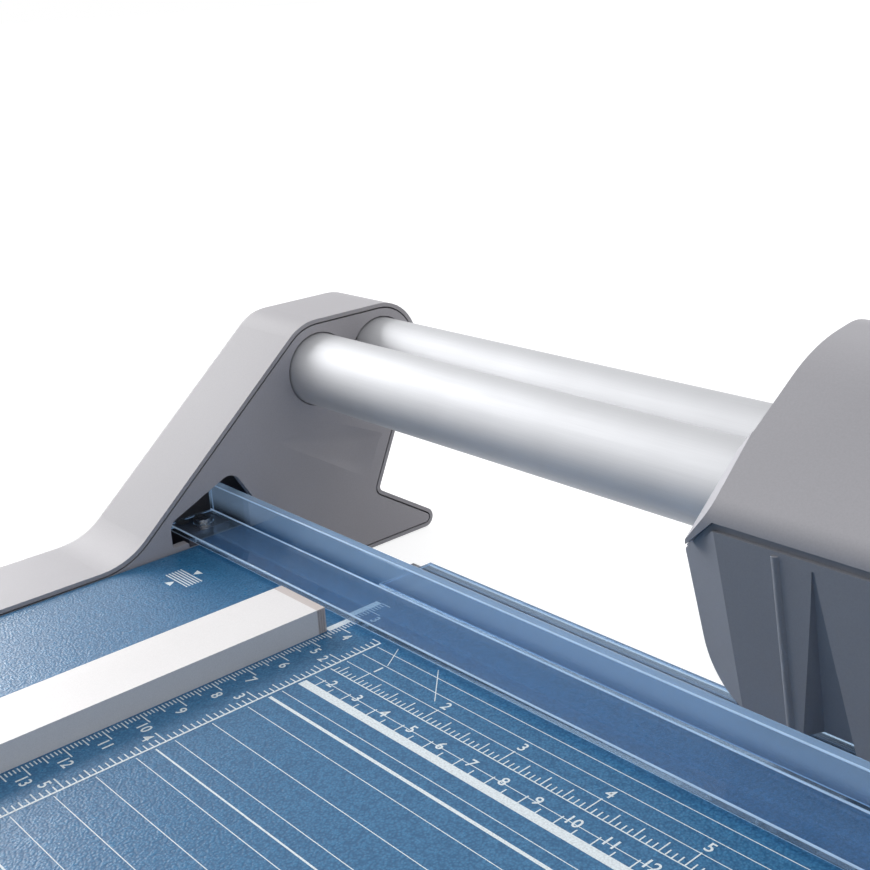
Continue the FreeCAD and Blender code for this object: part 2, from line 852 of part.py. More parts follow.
def skirtOutline(gap):
    """The skirt from the front: seam above, leaning sides, round lower corners."""
    lean = value("skirtLeanAngle")
    slope = math.degrees(math.atan(value(endSlope)))
    across = value("headLength / 2 + skirtOut")
    side = value("seamEndRise")
    half = value(seamHalf)
    top = value(f"seamRise - {gap}")
    sides = [
        (270, -value("skirtBottom")),
        sideThrough((-across, side), 180 + lean),
        sideThrough((-half, top), 90 + slope),
        (90, top),
        sideThrough((half, top), 90 - slope),
        sideThrough((across, side), -lean),
    ]
    low = value("skirtRound")
    high = value("skirtTongue")
    return insetOutline(sides, (low, low, high, 0.0, 0.0, high), 0.0)


def makeFlute(body, side):
    """A wedge-shaped hollow in the skirt's front that opens downwards."""
    front = -value("skirtFront + skirtTongue")
    deep = value("fluteDeep - skirtFront")
    lean = value("fluteLean")
    tip = value("fluteTop")
    small = value("looseFit")
    stations = (
        ("fluteTopRise", (tip + small, tip - small, tip - small, tip + small),
         value("-skirtFront") + small),
        ("skirtBottom - skirtTongue", (value("fluteOuter"), value("fluteInner"),
                                       value("fluteInner") + lean, value("fluteOuter") - lean),
         deep),
    )
    rings = []
    for rise, across, back in stations:
        ringSketch = sketchOn(body, "XY_Plane", rise)
        depths = (front, front, back, back)
        drawOutline(ringSketch, [(side * a, b, 0.0) for a, b in zip(across, depths)])
        rings.append(ringSketch)
    doc.recompute()
    before = body.Shape.Volume
    flute = body.newObject("PartDesign::SubtractiveLoft", "Flute")
    flute.Profile = rings[0]
    flute.Sections = rings[1:]
    flute.Ruled = True
    doc.recompute()
    if body.Shape.Volume > before - 1e-6:
        raise RuntimeError("a flute cuts nothing")


def makeBead(side):
    """A half-round rib down the skirt's front."""
    behind = value("beadRadius - beadProud - skirtFront")
    top = Vector(side * value("beadTop"), behind, value("seamRise - skirtGroove - beadRadius"))
    low = Vector(side * value("beadLow"), behind, value("skirtBottom + beadRadius"))
    item = solidOf("Cylinder", Radius="beadRadius")
    item.Height = top.distanceToPoint(low)
    item.Placement = Placement(low, Rotation(Vector(0, 0, 1), top - low))
    return item


def makeSkirt():
    """The rounded shield before the wheel, with two facets, two ribs and two flutes."""
    body = newBody()
    face = sketchOn(body, "XZ_Plane", "skirtFront")
    drawOutline(face, skirtOutline("skirtGroove"))
    pad(face, "skirtTongue", backwards=True)
    core = sketchOn(body, "XZ_Plane", "skirtFront - skirtTongue")
    drawOutline(core, skirtOutline("looseFit"))
    pad(core, "skirtFront - skirtTongue + skirtBack", backwards=True)
    wheelBay = sketchOn(body, "XZ_Plane", "-skirtBack")
    drawBox(wheelBay, "-wheelBay", "wheelBay", "0", "2 * seamRise")
    pocket(wheelBay, "wheelBayDeep", backwards=True)
    hubBay = sketchOn(body, "XZ_Plane", "-skirtBack")
    drawBox(hubBay, "-hubBay", "hubBay", "wheelDiameter / 2 - wheelDip - hubBay",
            "wheelDiameter / 2 - wheelDip + hubBay")
    pocket(hubBay, "hubBayDeep", backwards=True)
    bosses = sketchOn(body, "XZ_Plane", "wheelBayDeep - skirtBack")
    for sign in ("-", ""):
        drawCircle(bosses, f"{sign}skirtScrewAt", "skirtScrewRise", "bossWide / 2")
    pad(bosses, "wheelBayDeep", backwards=True)
    for side in (-1, 1):
        makeFlute(body, side)
    piece = body
    front = -value("skirtFront")
    for side in (-1, 1):
        top = Vector(side * value(seamHalf), front, value("seamRise"))
        low = Vector(side * value("headLength / 2 - facetIn"), front, value("skirtBottom"))
        outer = Vector(side * value(flareHalf), front + value("facetSet"), value("seamEndRise"))
        normal = (outer - low).cross(top - low).normalize() * side
        piece = cutBy(piece, slabBeyond(normal, normal.dot(top), top))
        piece = combined("Fuse", piece, makeBead(side))
    return atCut(piece, headMiddle)


def makeHeadFloor():
    """The flat cover that closes the head's upper shell from below."""
    half = "(headLength / 2 - headEnd - runningFit)"
    item = solidOf("Box", Length=f"2 * {half}",
                   Width="headBack - headWall - runningFit - seamBack", Height="headWall")
    place(item, f"{headMiddle} - {half}", f"{cutBehind} + seamBack", f"tableHeight + {headFloor}")
    room = rod("axleHead / 2 + looseFit", "2 * clipThick",
               (headMiddle, f"{cutBehind} + skirtBack + guardThick",
                f"tableHeight + {wheelRise}"), "+y")
    return cutBy(item, room)


carriageHalf = "(headLength / 2 - headEnd - carriagePlay)"


def makeCarriage():
    """The block that rides on both tubes, with a guard plate down behind the wheel."""
    body = newBody()
    hull = sketchOn(body, "YZ_Plane")
    radius = value(hullRadius)
    front = frontTube[0] - radius
    back = backTube[0] + radius
    rise = frontTube[1]
    drawOutline(hull, [(front, rise - radius, radius), (back, rise - radius, radius),
                       (back, rise + radius, radius), (front, rise + radius, radius)])
    pad(hull, f"2 * {carriageHalf}", midplane=True)
    guard = sketchOn(body, "XZ_Plane", "-skirtBack")
    drawBox(guard, "-guardWide / 2", "guardWide / 2", "guardLow", "tubeRise")
    pad(guard, "guardThick", backwards=True)
    for behind in (tubeBehind, backTubeBehind):
        bore = sketchOn(body, "YZ_Plane")
        drawCircle(bore, behind, "tubeRise", "tubeDiameter / 2 + looseFit")
        pocket(bore, f"2 * {carriageHalf}", midplane=True)
        for offset, backwards in ((f"-{carriageHalf}", True), (carriageHalf, False)):
            seat = sketchOn(body, "YZ_Plane", offset)
            drawCircle(seat, behind, "tubeRise", f"{boreRadius} + bushWall")
            pocket(seat, "bushLong", backwards=backwards)
    return atCut(body, headMiddle)


def makeBushes():
    """Thin liners at both ends of each bore, which run on the tubes."""
    items = []
    for behind in (tubeBehind, backTubeBehind):
        for along, start in (("+x", f"-{carriageHalf}"), ("-x", carriageHalf)):
            point = (start, behind, "tubeRise")
            items.append(ring(f"{boreRadius} + bushWall", boreRadius, "bushLong", point, along))
    return atCut(together(items), headMiddle)


def makeEndScrews():
    """Screws through the head's ends into the carriage, above and below the tubes' gap."""
    items = []
    for sign, along in (("-", "+x"), ("", "-x")):
        for rise in ("tubeRise - endScrewOff", "tubeRise + endScrewOff"):
            point = (f"{sign}headLength / 2", betweenTubes, rise)
            items.append(screw(point, along))
    return atCut(together(items), headMiddle)


def makeSkirtScrews():
    """Screws from behind through the guard plate into the skirt."""
    items = []
    for sign in ("-", ""):
        point = (f"{sign}skirtScrewAt", "skirtBack + guardThick", "skirtScrewRise")
        items.append(screw(point, "-y", long="guardThick + wheelBayDeep"))
    return atCut(together(items), headMiddle)


def makeFloorScrews():
    items = []
    for sign in ("-", ""):
        point = (f"{sign}floorScrewAt", betweenTubes, headFloor)
        items.append(sunkScrew(point, "+z"))
    return atCut(together(items), headMiddle)


def makeWheel():
    """The round blade: flat towards the knife, ground to its edge from behind."""
    disc = solidOf("Cone", Radius1="wheelDiameter / 2", Radius2="wheelDiameter / 2 - wheelBevel",
                   Height="wheelThick")
    place(disc, "0", "wheelGap", wheelRise, turn=turns["+y"])
    hole = rod("axleDiameter / 2 + runningFit", "wheelThick", ("0", "wheelGap", wheelRise), "+y")
    return atCut(combined("Cut", disc, hole), headMiddle)


def makeHub():
    """The boss before the wheel that turns with it on the axle."""
    point = ("0", "wheelGap", wheelRise)
    piece = ring("hubDiameter / 2", "axleDiameter / 2 + runningFit", "hubThick", point, "-y")
    return atCut(piece, headMiddle)


def makeWheelScrews():
    items = []
    for index in range(3):
        across = f"hubScrewRing * {math.sin(index * math.tau / 3):.6f}"
        rise = f"{wheelRise} + hubScrewRing * {math.cos(index * math.tau / 3):.6f}"
        point = (across, "wheelGap + wheelThick", rise)
        items.append(sunkScrew(point, "-y", long="wheelThick + 0.7 * hubThick"))
    return atCut(together(items), headMiddle)


hubFront = "(wheelGap - hubThick - axlePlay)"


def makeAxle():
    """The pin through the hub, fixed in the guard plate."""
    pin = rod("axleDiameter / 2", f"skirtBack + guardThick + 1.6 * clipThick - {hubFront}",
              ("0", hubFront, wheelRise), "+y")
    cap = rod("axleHead / 2", "axleHeadThick", ("0", hubFront, wheelRise), "-y")
    return atCut(combined("Fuse", pin, cap), headMiddle)


def makeClip():
    point = ("0", "skirtBack + guardThick", wheelRise)
    piece = ring("axleHead / 2", "axleDiameter / 2", "clipThick", point, "+y")
    return atCut(piece, headMiddle)


frameScrews = makeFrameScrews()
tubeScrews = eachTubeEnd(tubeScrew)
knifeScrews = makeKnifeScrews()
stopScrews = makeStopScrews()
clampScrews = makeClampScrews()
posts = makePosts()
endScrews = makeEndScrews()
skirtScrews = makeSkirtScrews()
floorScrews = makeFloorScrews()
wheelScrews = makeWheelScrews()
axle = makeAxle()
leftCover = cutBy(makeEndCover(), frameScrews)
leftPlate = cutBy(makeEndPlate(), frameScrews, tubeScrews, posts)
stopBar = stopBlock(f"{stopEnd} - stopStart - stopCap", stopEnd)

pieces = {
    "table_plate": cutBy(makeTable(), frameScrews, knifeScrews, stopScrews),
    "lower_knife": cutBy(makeKnife(), knifeScrews),
    "knife_screws": knifeScrews,
    "left_end_cover": leftCover,
    "right_end_cover": mirrored(leftCover),
    "left_end_plate": leftPlate,
    "right_end_plate": mirrored(leftPlate),
    "frame_screws": frameScrews,
    "front_guide_tube": makeTube(tubeBehind),
    "rear_guide_tube": makeTube(backTubeBehind),
    "tube_end_plugs": cutBy(eachTubeEnd(tubePlug), tubeScrews),
    "tube_end_screws": tubeScrews,
    "rubber_feet": makeFeet(),
    "stop_bar": cutBy(stopBar, stopScrews),
    "stop_bar_cap": stopBlock("stopCap", "(stopStart + stopCap)"),
    "stop_bar_screws": stopScrews,
    "clamp_strip": cutBy(makeClampStrip(), clampScrews),
    "clamp_carriers": cutBy(makeCarriers(), clampScrews),
    "clamp_screws": clampScrews,
    "clamp_guide_posts": posts,
    "clamp_springs": makeSprings(),
    "head_cover": cutBy(makeHeadCover(), endScrews),
    "head_skirt": cutBy(makeSkirt(), skirtScrews),
    "head_floor": cutBy(makeHeadFloor(), floorScrews),
    "head_carriage": cutBy(makeCarriage(), endScrews, skirtScrews, floorScrews, axle),
    "glide_bushes": makeBushes(),
    "head_end_screws": endScrews,
    "skirt_screws": skirtScrews,
    "floor_screws": floorScrews,
    "wheel_axle": axle,
    "axle_clip": makeClip(),
    "cutting_wheel": cutBy(makeWheel(), wheelScrews),
    "wheel_hub": cutBy(makeHub(), wheelScrews),
    "wheel_screws": wheelScrews,
}
for name, piece in pieces.items():
    piece.Label = name
doc.recompute()

for item in doc.Objects:
    if "Invalid" in item.State or "Error" in item.State:
        raise RuntimeError(f"{item.Name} ({item.Label}) is in state {item.State}")
os.makedirs("parts", exist_ok=True)
for name, piece in pieces.items():
    if piece.Shape.isNull() or not piece.Shape.isValid():
        raise RuntimeError(f"{name} has no valid shape")
    piece.Shape.exportStep(f"parts/{name}.step")
    print(name, len(piece.Shape.Solids), "solids", round(piece.Shape.Volume), "cubic mm")
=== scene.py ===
import bpy
import bmesh
import math
from mathutils import Matrix, Vector


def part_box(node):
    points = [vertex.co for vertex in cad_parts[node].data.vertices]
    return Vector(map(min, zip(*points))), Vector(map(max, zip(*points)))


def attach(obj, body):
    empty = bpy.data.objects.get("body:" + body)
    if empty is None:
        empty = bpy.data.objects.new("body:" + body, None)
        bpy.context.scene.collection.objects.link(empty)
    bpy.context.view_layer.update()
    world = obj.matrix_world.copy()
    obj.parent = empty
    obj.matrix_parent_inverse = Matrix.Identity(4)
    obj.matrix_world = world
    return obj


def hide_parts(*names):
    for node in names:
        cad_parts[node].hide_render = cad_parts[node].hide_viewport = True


# A rolling paper trimmer on a white floor: a blue table with printed scales, a see-through blue
# clamp, two guide tubes between grey end brackets, and a cutting head.

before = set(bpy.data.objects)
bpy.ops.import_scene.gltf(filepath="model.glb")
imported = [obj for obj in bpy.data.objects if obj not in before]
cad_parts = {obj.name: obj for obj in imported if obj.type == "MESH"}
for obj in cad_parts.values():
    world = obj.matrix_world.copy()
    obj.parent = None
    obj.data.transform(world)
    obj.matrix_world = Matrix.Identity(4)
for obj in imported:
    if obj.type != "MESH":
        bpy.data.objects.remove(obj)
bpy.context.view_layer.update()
mm = 0.001
print("frame loaded")


# Colours and nodes

noiseSpan = {"From Min": 0.3, "From Max": 0.7}      # nearly all values of a noise lie in here


def linear(hexText):
    # sRGB hex to linear, as the shader wants it
    channels = [int(hexText[i:i + 2], 16) / 255 for i in (0, 2, 4)]
    curved = [c / 12.92 if c <= 0.04045 else ((c + 0.055) / 1.055) ** 2.4 for c in channels]
    return (*curved, 1.0)


def setInputs(tree, node, inputs):
    # an input is a number, a colour or another node's socket
    for name, value in inputs.items():
        if isinstance(value, bpy.types.NodeSocket):
            tree.links.new(value, node.inputs[name])
        else:
            node.inputs[name].default_value = value


def addNode(tree, kind, settings=None, inputs=None):
    # a node with its settings and its inputs
    node = tree.nodes.new("ShaderNode" + kind)
    for name, value in (settings or {}).items():
        setattr(node, name, value)
    setInputs(tree, node, inputs or {})
    return node


def newMaterial(name):
    material = bpy.data.materials.new(name)
    material.use_nodes = True
    tree = material.node_tree
    tree.nodes.clear()
    shader = addNode(tree, "BsdfPrincipled")
    addNode(tree, "OutputMaterial", inputs={"Surface": shader.outputs[0]})
    shader.location.x = -300
    return material, tree, shader


def setColour(material, hexText):
    # the flat colour that viewers without nodes show
    material.diffuse_color = linear(hexText)
    return material


mouldedPlastic = {
    "grain": 0.45 * mm,      # spark-eroded grain of a moulded cover, as coarse as it shows here
    "depth": 0.012 * mm,
    "bump": 0.6,
    "patch": 60 * mm,        # how broad the patches are in which the tone wanders
    "mottle": 0.04,          # how far it wanders from patch to patch
    "speck": 0.06,           # and from grain to grain
    "roughness": 0.52,
    "roughnessSpread": 0.08,
    "ior": 1.5,
}


def makeMouldedPlastic(name, hexText, **changes):
    # ABS from a grained mould: matt, slightly uneven in tone, with a fine leathery bump
    s = {**mouldedPlastic, **changes}
    material, tree, shader = newMaterial(name)
    where = addNode(tree, "TexCoord").outputs["Object"]
    fine = addNode(tree, "TexNoise", inputs={
        "Vector": where, "Scale": 1 / s["grain"], "Detail": 3.0, "Roughness": 0.6})
    broad = addNode(tree, "TexNoise", inputs={
        "Vector": where, "Scale": 1 / s["patch"], "Detail": 2.0})
    tone = addNode(tree, "MapRange", inputs={
        "Value": broad.outputs["Fac"], **noiseSpan,
        "To Min": 1 - s["mottle"], "To Max": 1 + s["mottle"]})
    speck = addNode(tree, "MapRange", inputs={
        "Value": fine.outputs["Fac"], "From Min": 0.25, "From Max": 0.75,
        "To Min": 1 - s["speck"], "To Max": 1 + s["speck"]})
    both = addNode(tree, "Math", {"operation": "MULTIPLY"}, {
        0: tone.outputs[0], 1: speck.outputs[0]})
    colour = addNode(tree, "VectorMath", {"operation": "SCALE"}, {
        0: linear(hexText)[:3], "Scale": both.outputs[0]})
    dull = addNode(tree, "MapRange", inputs={
        "Value": fine.outputs["Fac"], **noiseSpan,
        "To Min": s["roughness"] - s["roughnessSpread"],
        "To Max": s["roughness"] + s["roughnessSpread"]})
    bump = addNode(tree, "Bump", inputs={
        "Height": fine.outputs["Fac"], "Strength": s["bump"], "Distance": s["depth"]})
    setInputs(tree, shader, {
        "Base Color": colour.outputs[0], "Roughness": dull.outputs[0],
        "Normal": bump.outputs[0], "IOR": s["ior"]})
    return setColour(material, hexText)


powderCoat = {
    "colour": "4180AD",
    "deep": "265F8A",
    "pebble": 0.62 * mm,     # the coat's drops dry as low pebbles well under a millimetre wide
    "depth": 0.07 * mm,
    "softness": 0.6,         # how far neighbouring pebbles run into each other
    "wave": 2.6,             # the coat's slow waves, in pebbles
    "waveShare": 0.8,
    "deepFrom": 0.4,         # heights over which the colour goes from one to the other, the darker one being painted shade in the low parts
    "deepTo": 1.1,
    "roughness": 0.33,
    "roughnessSpread": 0.06,
    "shine": 0.38,
}


def makePowderCoat():
    # textured polyester powder on steel: satin, with a hammered pebble that catches the light
    s = powderCoat
    material, tree, shader = newMaterial("blue_powder_coat")
    where = addNode(tree, "TexCoord").outputs["Object"]
    pebbles = addNode(tree, "TexVoronoi", {"feature": "SMOOTH_F1"}, {
        "Vector": where, "Scale": 1 / s["pebble"], "Smoothness": s["softness"],
        "Randomness": 1.0})
    waves = addNode(tree, "TexNoise", inputs={
        "Vector": where, "Scale": 1 / (s["wave"] * s["pebble"]), "Detail": 2.0})
    height = addNode(tree, "Math", {"operation": "MULTIPLY_ADD"}, {
        0: waves.outputs["Fac"], 1: s["waveShare"], 2: pebbles.outputs["Distance"]})
    # painted shade: where the coat lies low between the pebbles it gets the darker blue
    shade = addNode(tree, "MapRange", inputs={
        "Value": height.outputs[0], "From Min": s["deepFrom"], "From Max": s["deepTo"]})
    colour = addNode(tree, "Mix", {"data_type": "RGBA"}, {
        0: shade.outputs[0], 6: linear(s["colour"]), 7: linear(s["deep"])})
    dull = addNode(tree, "MapRange", inputs={
        "Value": waves.outputs["Fac"], **noiseSpan,
        "To Min": s["roughness"] - s["roughnessSpread"],
        "To Max": s["roughness"] + s["roughnessSpread"]})
    bump = addNode(tree, "Bump", {"invert": True}, {
        "Height": height.outputs[0], "Strength": 1.0, "Distance": s["depth"]})
    setInputs(tree, shader, {
        "Base Color": colour.outputs[2], "Roughness": dull.outputs[0],
        "Normal": bump.outputs[0], "Specular IOR Level": s["shine"]})
    return setColour(material, s["colour"])


anodised = {
    "colour": "C6C7CA",
    "roughness": 0.64,
    "roughnessSpread": 0.05,
    "hairline": 0.12 * mm,   # drawn tube: hairlines run along it
    "drawnOut": 0.004,       # how much the pattern is slowed down along the tube
    "hairDepth": 0.004 * mm,
    "bump": 0.25,
    "cloud": 25 * mm,        # the film's thickness clouds its tone over such lengths
    "darkest": 0.97,
    "lightest": 1.02,
}


def makeAnodisedAluminium():
    # drawn aluminium tube with a satin anodic film: bright, soft-edged highlights along it
    s = anodised
    material, tree, shader = newMaterial("satin_anodised_aluminium")
    where = addNode(tree, "TexCoord").outputs["Object"]
    drawn = addNode(tree, "Mapping", inputs={
        "Vector": where, "Scale": (s["drawnOut"], 1.0, 1.0)})
    hair = addNode(tree, "TexNoise", inputs={
        "Vector": drawn.outputs[0], "Scale": 1 / s["hairline"], "Detail": 3.0})
    film = addNode(tree, "TexNoise", inputs={
        "Vector": where, "Scale": 1 / s["cloud"], "Detail": 2.0})
    dull = addNode(tree, "MapRange", inputs={
        "Value": hair.outputs["Fac"], **noiseSpan,
        "To Min": s["roughness"] - s["roughnessSpread"],
        "To Max": s["roughness"] + s["roughnessSpread"]})
    tone = addNode(tree, "MapRange", inputs={
        "Value": film.outputs["Fac"], **noiseSpan,
        "To Min": s["darkest"], "To Max": s["lightest"]})
    colour = addNode(tree, "VectorMath", {"operation": "SCALE"}, {
        0: linear(s["colour"])[:3], "Scale": tone.outputs[0]})
    bump = addNode(tree, "Bump", inputs={
        "Height": hair.outputs["Fac"], "Strength": s["bump"], "Distance": s["hairDepth"]})
    setInputs(tree, shader, {
        "Base Color": colour.outputs[0], "Roughness": dull.outputs[0],
        "Normal": bump.outputs[0], "Metallic": 1.0})
    return setColour(material, s["colour"])


steel = {
    "roughnessSpread": 0.08,
    "darkest": 0.92,
    "lightest": 1.05,
    "markDepth": 0.006 * mm,
    "bump": 0.3,
}


def makeSteel(name, hexText, roughness, grain, stretch):
    # bare or zinc-plated steel; stretch draws the grinding marks out along one axis
    s = steel
    material, tree, shader = newMaterial(name)
    where = addNode(tree, "TexCoord").outputs["Object"]
    drawn = addNode(tree, "Mapping", inputs={"Vector": where, "Scale": stretch})
    marks = addNode(tree, "TexNoise", inputs={
        "Vector": drawn.outputs[0], "Scale": 1 / grain, "Detail": 4.0})
    dull = addNode(tree, "MapRange", inputs={
        "Value": marks.outputs["Fac"], **noiseSpan,
        "To Min": roughness - s["roughnessSpread"],
        "To Max": roughness + s["roughnessSpread"]})
    tone = addNode(tree, "MapRange", inputs={
        "Value": marks.outputs["Fac"], **noiseSpan,
        "To Min": s["darkest"], "To Max": s["lightest"]})
    colour = addNode(tree, "VectorMath", {"operation": "SCALE"}, {
        0: linear(hexText)[:3], "Scale": tone.outputs[0]})
    bump = addNode(tree, "Bump", inputs={
        "Height": marks.outputs["Fac"], "Strength": s["bump"], "Distance": s["markDepth"]})
    setInputs(tree, shader, {
        "Base Color": colour.outputs[0], "Roughness": dull.outputs[0],
        "Normal": bump.outputs[0], "Metallic": 1.0})
    return setColour(material, hexText)


acrylic = {
    "tint": "B6D2EC",
    "ior": 1.49,
    "clearLow": 0.94,        # the foot lies clear on the paper; the upright wall and flange are painted milkier: painted sheen for the bright room they reflect
    "clearHigh": 0.74,       # carry a faint milkiness from the dye and wear
    "paintedSheenFrom": 0.25,       # shares of the strip's height between which the painted sheen comes in
    "paintedSheenTo": 0.6,
    "paintedGlow": 0.09,         # painted glow: the upright part gives out light, as painted sheen
    "roughness": 0.04,
    "streak": 1.6 * mm,      # faint lines left along the strip by the extrusion die
    "drawnOut": 0.01,
    "streakDepth": 0.03 * mm,
    "bump": 0.35,
    "lightThrough": 0.85,    # how much light passes to what lies under it
    # colour of the painted highlight on the edges, and of the painted glow
    "edge": "B6D4F5",
    "paintedEdgeHighlight": 0.3,
    "edgeDim": 0.7,          # the least painted highlight, as a share of the full
    "edgeWander": 9 * mm,
    "edgeRoughness": 0.18,
    "edgeThrough": 0.35,
}


def makeAcrylic():
    # extruded acrylic dyed blue: clear, with die lines along it; the upright part is painted
    # milky and glowing, as painted sheen
    s = acrylic
    material, tree, shader = newMaterial("clear_blue_acrylic")
    where = addNode(tree, "TexCoord").outputs["Object"]
    drawn = addNode(tree, "Mapping", inputs={
        "Vector": where, "Scale": (s["drawnOut"], 1.0, 1.0)})
    lines = addNode(tree, "TexNoise", inputs={
        "Vector": drawn.outputs[0], "Scale": 1 / s["streak"], "Detail": 3.0})
    dull = addNode(tree, "MapRange", inputs={
        "Value": lines.outputs["Fac"], "From Min": 0.35, "From Max": 0.7,
        "To Min": s["roughness"] * 0.5, "To Max": s["roughness"] * 2.2})
    bump = addNode(tree, "Bump", inputs={
        "Height": lines.outputs["Fac"], "Strength": s["bump"], "Distance": s["streakDepth"]})
    # light on its way to a lamp or the room goes straight through, so the table is lit below
    rays = addNode(tree, "LightPath")
    lit = addNode(tree, "Math", {"operation": "MAXIMUM"}, {
        0: rays.outputs["Is Shadow Ray"], 1: rays.outputs["Is Diffuse Ray"]})
    solid = addNode(tree, "Math", {"operation": "MULTIPLY_ADD"}, {
        0: lit.outputs[0], 1: -s["lightThrough"], 2: 1.0})
    # painted sheen: the upright part turns milkier and glows more with height
    low, high = (corner.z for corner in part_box("clamp_strip"))
    height = addNode(tree, "SeparateXYZ", inputs={0: where})
    clear = addNode(tree, "MapRange", inputs={
        "Value": height.outputs["Z"], "From Min": low + s["paintedSheenFrom"] * (high - low),
        "From Max": low + s["paintedSheenTo"] * (high - low),
        "To Min": s["clearLow"], "To Max": s["clearHigh"]})
    paintedGlow = addNode(tree, "MapRange", inputs={
        "Value": clear.outputs[0], "From Min": s["clearHigh"], "From Max": s["clearLow"],
        "To Min": s["paintedGlow"], "To Max": 0.0})
    setInputs(tree, shader, {
        "Base Color": linear(s["tint"]), "Roughness": dull.outputs[0],
        "Normal": bump.outputs[0], "IOR": s["ior"], "Alpha": solid.outputs[0],
        "Transmission Weight": clear.outputs[0], "Emission Color": linear(s["edge"]),
        "Emission Strength": paintedGlow.outputs[0]})
    return setColour(material, s["tint"])


def makePolishedEdge():
    # the same acrylic on the rounded corners, with a painted highlight: it glows, so the corners
    # show as bright lines
    s = acrylic
    material, tree, shader = newMaterial("acrylic_edge_painted_highlight")
    where = addNode(tree, "TexCoord").outputs["Object"]
    wander = addNode(tree, "TexNoise", inputs={
        "Vector": where, "Scale": 1 / s["edgeWander"], "Detail": 2.0})
    level = addNode(tree, "MapRange", inputs={
        "Value": wander.outputs["Fac"], "From Min": 0.35, "From Max": 0.65,
        "To Min": s["paintedEdgeHighlight"] * s["edgeDim"], "To Max": s["paintedEdgeHighlight"]})
    setInputs(tree, shader, {
        "Base Color": linear(s["edge"]), "Roughness": s["edgeRoughness"], "IOR": s["ior"],
        "Transmission Weight": s["edgeThrough"], "Emission Color": linear(s["edge"]),
        "Emission Strength": level.outputs[0]})
    return setColour(material, s["edge"])


screenInk = {
    "colour": "E6F0F6",
    "pore": 0.5 * mm,
    "thinnest": 0.72,        # how light the ink is where it covers least
    "roughness": 0.55,
}


def makeInk():
    # screen-printed enamel ink: flat white with a slightly uneven, porous cover
    s = screenInk
    material, tree, shader = newMaterial("white_screen_ink")
    where = addNode(tree, "TexCoord").outputs["Object"]
    pores = addNode(tree, "TexNoise", inputs={
        "Vector": where, "Scale": 1 / s["pore"], "Detail": 3.0})
    cover = addNode(tree, "MapRange", inputs={
        "Value": pores.outputs["Fac"], "From Min": 0.25, "From Max": 0.6,
        "To Min": s["thinnest"], "To Max": 1.0})
    colour = addNode(tree, "VectorMath", {"operation": "SCALE"}, {
        0: linear(s["colour"])[:3], "Scale": cover.outputs[0]})
    setInputs(tree, shader, {"Base Color": colour.outputs[0], "Roughness": s["roughness"]})
    return setColour(material, s["colour"])


finishes = {
    "coverGrey": makeMouldedPlastic("grained_abs_light_grey", "B2B0B5"),
    "plateGrey": makeMouldedPlastic("grained_abs_mid_grey", "B6B4BA"),
    "headGrey": makeMouldedPlastic("grained_abs_silver_grey", "ABAAB0"),
    # painted shade: the skirt gets a darker grey than the head cover, for the shade on its front
    # faces
    "skirtGrey": makeMouldedPlastic("grained_abs_grey_painted_shade", "94969E"),
    "stopWhite": makeMouldedPlastic("coated_extrusion_white", "ECEAEB", roughness=0.42,
                                    grain=0.3 * mm, depth=0.004 * mm),
    "capWhite": makeMouldedPlastic("moulded_cap_warm_white", "CBC2C0", roughness=0.5,
                                   grain=0.35 * mm, depth=0.008 * mm),
    "slateAcetal": makeMouldedPlastic("slate_acetal", "77757F", roughness=0.42),
    "blackAcetal": makeMouldedPlastic("black_acetal", "1B1C1F", roughness=0.42),
    "whiteAcetal": makeMouldedPlastic("white_acetal", "DAD9D3", roughness=0.38),
    "footRubber": makeMouldedPlastic("black_foot_rubber", "141414", roughness=0.8),
    "tableBlue": makePowderCoat(),
    "tubeAluminium": makeAnodisedAluminium(),
    "groundSteel": makeSteel("ground_tool_steel", "B4B7BC", 0.28, 0.25 * mm, (0.02, 1, 1)),
    "bladeSteel": makeSteel("ground_blade_steel", "BEC1C6", 0.22, 0.3 * mm, (1, 1, 1)),
    "zincSteel": makeSteel("zinc_plated_steel", "9EA2A6", 0.36, 0.8 * mm, (1, 1, 1)),
    "clearBlue": makeAcrylic(),
    "paintedHighlightEdge": makePolishedEdge(),
    "whiteInk": makeInk(),
}

nodeFinish = {
    "table_plate": "tableBlue", "lower_knife": "groundSteel", "knife_screws": "zincSteel",
    "left_end_cover": "coverGrey", "right_end_cover": "coverGrey",
    "left_end_plate": "plateGrey", "right_end_plate": "plateGrey", "frame_screws": "zincSteel",
    "front_guide_tube": "tubeAluminium", "rear_guide_tube": "tubeAluminium",
    "tube_end_plugs": "blackAcetal", "tube_end_screws": "zincSteel",
    "rubber_feet": "footRubber", "stop_bar": "stopWhite", "stop_bar_cap": "capWhite",
    "stop_bar_screws": "zincSteel", "clamp_guide_posts": "groundSteel",
    "clamp_springs": "zincSteel", "clamp_strip": "clearBlue", "clamp_carriers": "slateAcetal",
    "clamp_screws": "zincSteel", "head_cover": "headGrey", "head_skirt": "skirtGrey",
    "head_floor": "skirtGrey", "head_carriage": "blackAcetal", "glide_bushes": "whiteAcetal",
    "head_end_screws": "zincSteel", "skirt_screws": "zincSteel", "floor_screws": "zincSteel",
    "wheel_axle": "groundSteel", "axle_clip": "zincSteel", "cutting_wheel": "bladeSteel",
    "wheel_hub": "blackAcetal", "wheel_screws": "zincSteel",
}
for node, finish in nodeFinish.items():
    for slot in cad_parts[node].material_slots:
        slot.material = finishes[finish]
print("materials assigned")


# Meshes

def addBlock(mesh, middle, size, turn=0.0):
    # a box of this size about its middle, turned about the upright
    place = Matrix.Translation(middle) @ Matrix.Rotation(turn, 4, "Z")
    bmesh.ops.create_cube(mesh, size=1.0, matrix=place @ Matrix.Diagonal((*size, 1)))


def addPrism(mesh, outline, rise):
    # a closed prism: the outline, drawn out by a vector
    lower = [mesh.verts.new(point) for point in outline]
    upper = [mesh.verts.new(Vector(point) + rise) for point in outline]
    sides = [(lower[i - 1], lower[i], upper[i], upper[i - 1]) for i in range(len(outline))]
    faces = [mesh.faces.new(corners) for corners in (lower[::-1], upper, *sides)]
    bmesh.ops.recalc_face_normals(mesh, faces=faces)


